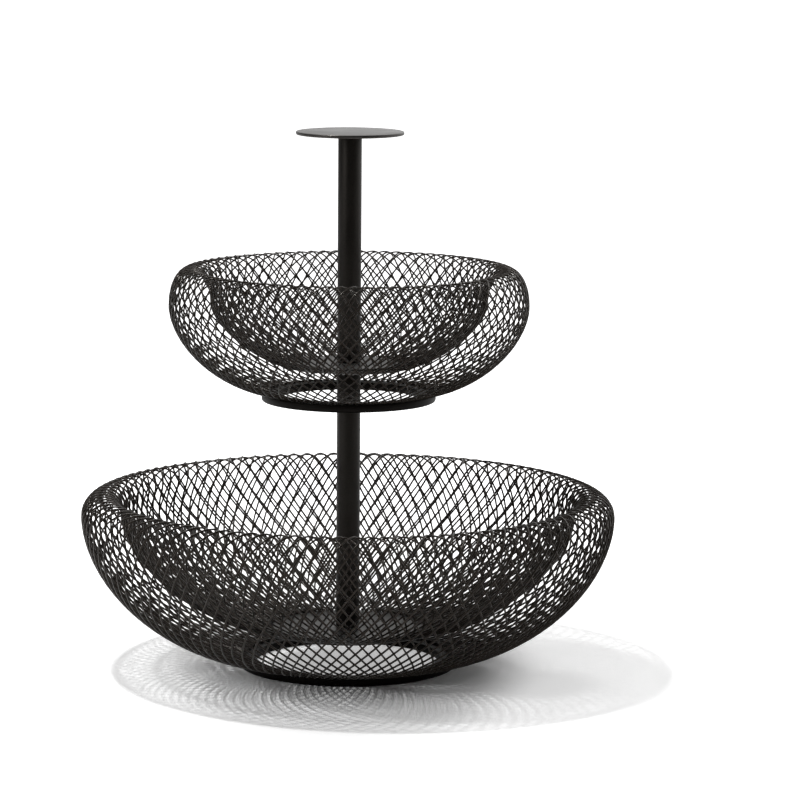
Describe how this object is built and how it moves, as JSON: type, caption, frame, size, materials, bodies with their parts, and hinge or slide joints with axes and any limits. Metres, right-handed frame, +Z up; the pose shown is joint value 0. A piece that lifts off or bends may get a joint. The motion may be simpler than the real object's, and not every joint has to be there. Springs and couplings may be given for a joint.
{
  "type": "tiered fruit basket",
  "caption": "Tiered fruit basket: round double-walled bowls of black diamond wire mesh, one above the other on a straight pole with a flat disc handle on top.",
  "frame": {"origin": "centre of the lower base ring's underside, on the pole's axis, at table height", "axes": "+Z up along the pole. The basket is round, so +X and +Y are free: the picture looks along +Y from a little above, with +X to its right"},
  "size_m": [0.3, 0.3, 0.3011],
  "materials": {
    "mesh_wire": "steel wire with a matte black powder coat",
    "powder_coat": "matte black powder coat with a fine grain",
    "fastener_steel": "bright zinc plate"
  },
  "bodies": {
    "lower_stand": {"lower_mesh_outer_wall": "mesh_wire", "lower_mesh_inner_wall": "mesh_wire", "lower_base_ring": "powder_coat", "lower_floor_plate": "powder_coat", "foot_washer": "fastener_steel", "foot_screw": "fastener_steel", "lower_pole_tube": "powder_coat", "lower_pole_foot_insert": "fastener_steel", "lower_pole_head_insert": "fastener_steel", "joining_stud": "fastener_steel"},
    "upper_bowl": {"upper_mesh_outer_wall": "mesh_wire", "upper_mesh_inner_wall": "mesh_wire", "upper_base_ring": "powder_coat", "upper_floor_plate": "powder_coat"},
    "handle_pole": {"upper_pole_tube": "powder_coat", "upper_pole_foot_insert": "fastener_steel", "upper_pole_head_insert": "fastener_steel", "handle_disc": "powder_coat", "handle_stud": "fastener_steel"}
  },
  "joints": [
    {"name": "upper_bowl_turn", "type": "hinge", "parent": "lower_stand", "child": "upper_bowl", "pos_m": [0, 0, 0.1702], "axis": [0, 0, 1], "continuous": true},
    {"name": "handle_turn", "type": "hinge", "parent": "lower_stand", "child": "handle_pole", "pos_m": [0, 0, 0.172], "axis": [0, 0, 1], "continuous": true}
  ]
}
